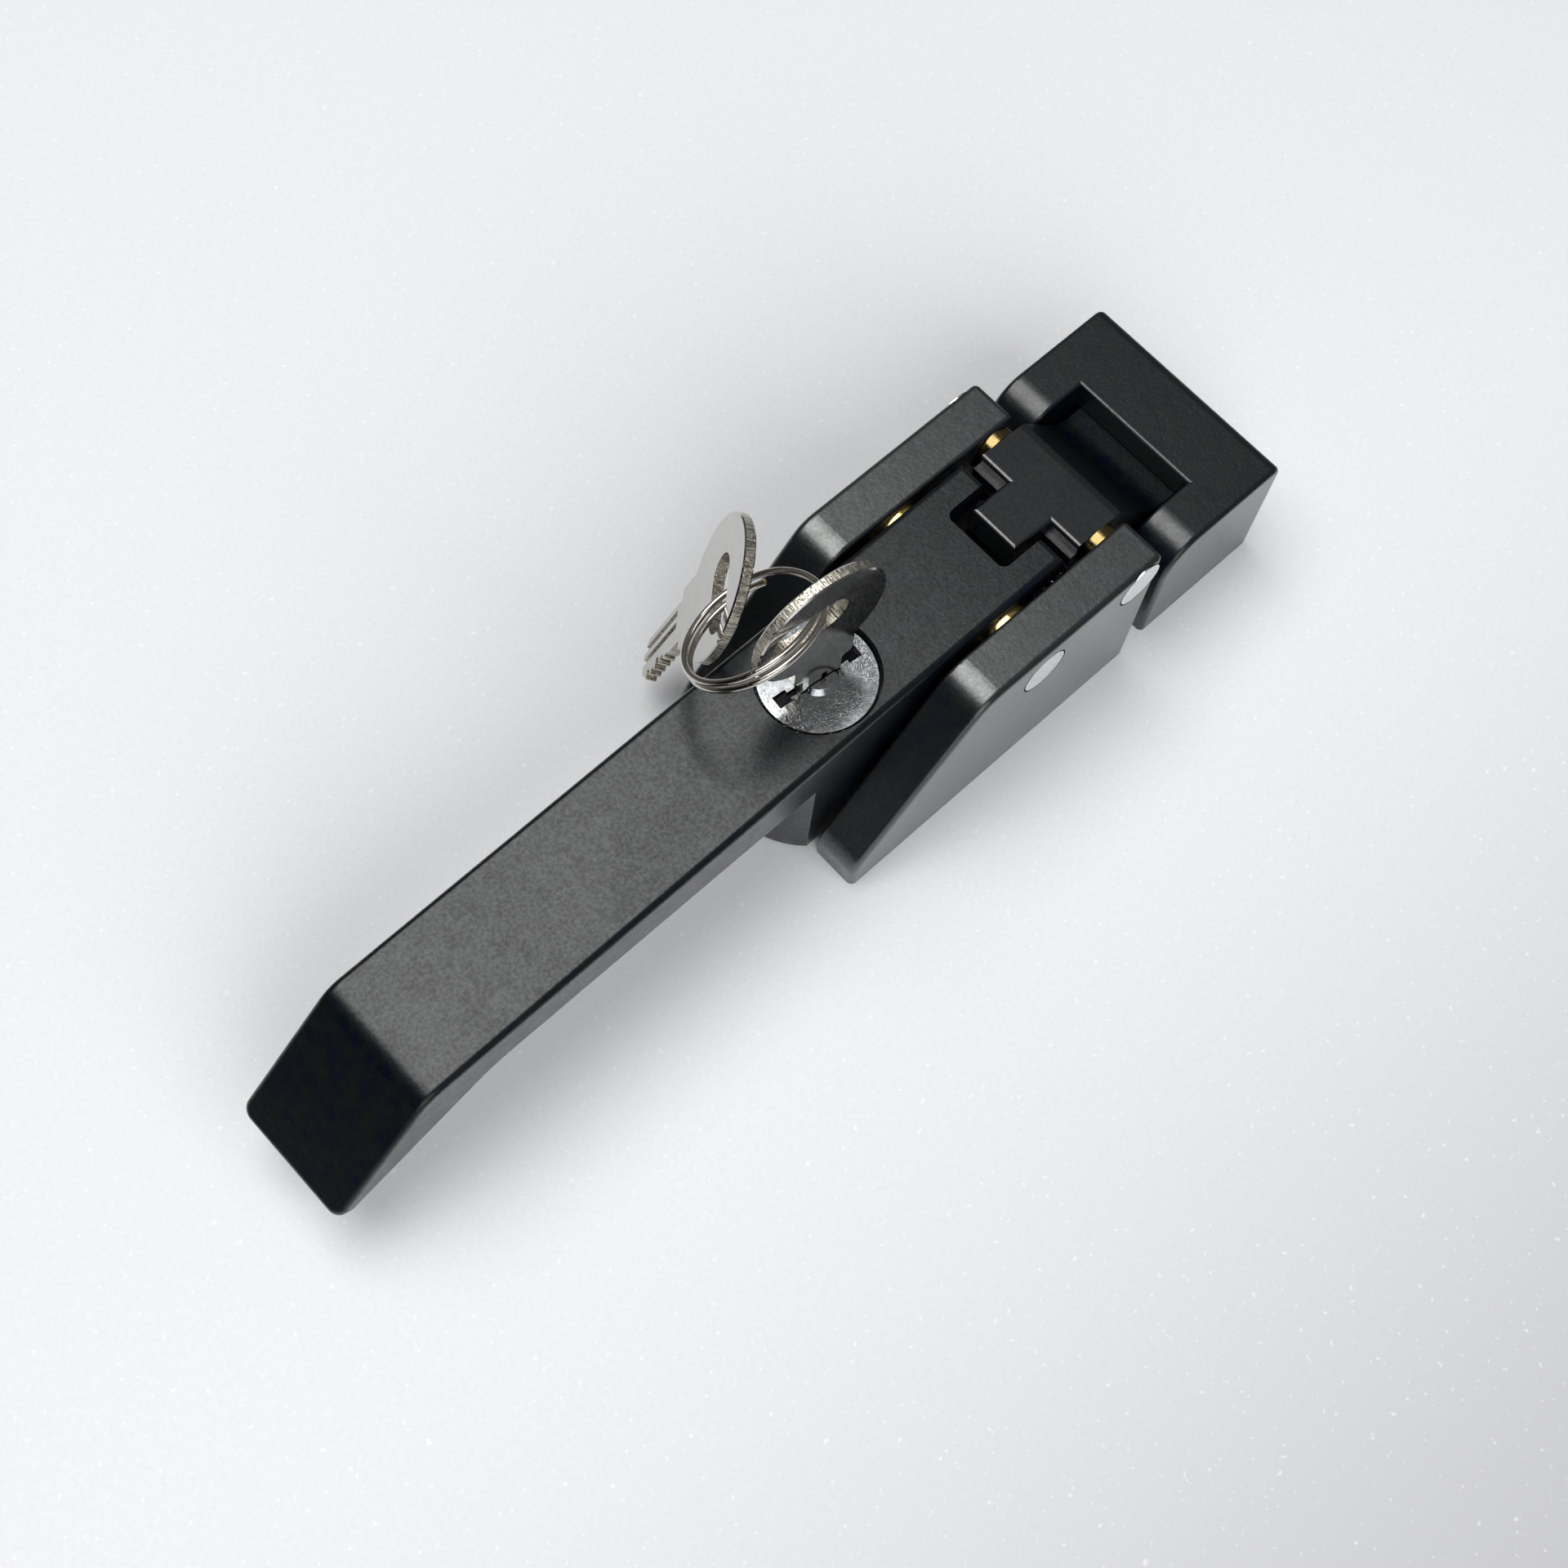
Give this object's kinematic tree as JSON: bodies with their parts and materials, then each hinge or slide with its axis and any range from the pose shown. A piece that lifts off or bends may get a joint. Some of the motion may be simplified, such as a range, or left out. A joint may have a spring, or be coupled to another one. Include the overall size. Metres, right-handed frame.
{
  "type": "surface lever compression latch with lock",
  "caption": "Surface-mounted lever compression latch with key lock, fork-jointed claw, cross pins, brass washers and a separate keeper.",
  "frame": {"origin": "middle of the base's four screw holes, on the mounting face", "axes": "+X from the grip towards the keeper, +Y to the far side where the spare key hangs, +Z off the mounting face"},
  "size_m": [0.2089, 0.0559, 0.0722],
  "materials": {
    "black_coat": "satin black powder coat with a fine orange peel",
    "chrome_plate": "bright",
    "nickel_plate": "polished nickel",
    "zinc_steel": "satin",
    "brass": "plain",
    "spring_steel": "drawn wire"
  },
  "bodies": {
    "base": {"base_housing": "black_coat", "claw_pivot_pin": "zinc_steel", "lever_pivot_pin": "zinc_steel", "claw_washer_near": "brass", "claw_washer_far": "brass", "lever_washer_near": "brass", "lever_washer_far": "brass", "claw_springs": "spring_steel", "keeper_housing": "black_coat"},
    "claw": {"claw": "black_coat"},
    "lever": {"lever_handle": "black_coat", "lock_body": "chrome_plate", "lock_retaining_clip": "zinc_steel"},
    "plug": {"lock_plug": "chrome_plate", "lock_wafers": "brass", "wafer_springs": "spring_steel", "lock_cam": "zinc_steel", "cam_washer": "zinc_steel", "cam_screw": "zinc_steel"},
    "key": {"key_in_lock": "nickel_plate"},
    "ring": {"split_ring": "nickel_plate"},
    "spare": {"spare_key": "nickel_plate"}
  },
  "joints": [
    {"name": "lever_lift", "type": "hinge", "parent": "base", "child": "lever", "pos_m": [0.0073, 0, 0.03], "axis": [0, 1, 0], "range_deg": [0, 60]},
    {"name": "claw_turn", "type": "hinge", "parent": "base", "child": "claw", "pos_m": [0.0304, 0, 0.0324], "axis": [0, 1, 0], "range_deg": [0, 30]},
    {"name": "lock_turn", "type": "hinge", "parent": "lever", "child": "plug", "pos_m": [-0.025, 0, 0.03], "axis": [0, 0, 1], "range_deg": [-90, 0]},
    {"name": "key_pull", "type": "slide", "parent": "plug", "child": "key", "axis": [0, 0, 1], "range_m": [0, 0.018]},
    {"name": "ring_lift", "type": "slide", "parent": "lever", "child": "ring", "axis": [0, 0, 1], "range_m": [0, 0.018]},
    {"name": "spare_swing", "type": "hinge", "parent": "ring", "child": "spare", "pos_m": [-0.0303, 0.0173, 0.0461], "axis": [-0.7359, -0.6769, 0.012], "range_deg": [0, 6]}
  ],
  "couplings": [
    {"joint": "claw_turn", "follows": "lever_lift", "ratio": 0.5},
    {"joint": "ring_lift", "follows": "key_pull", "ratio": 1}
  ]
}
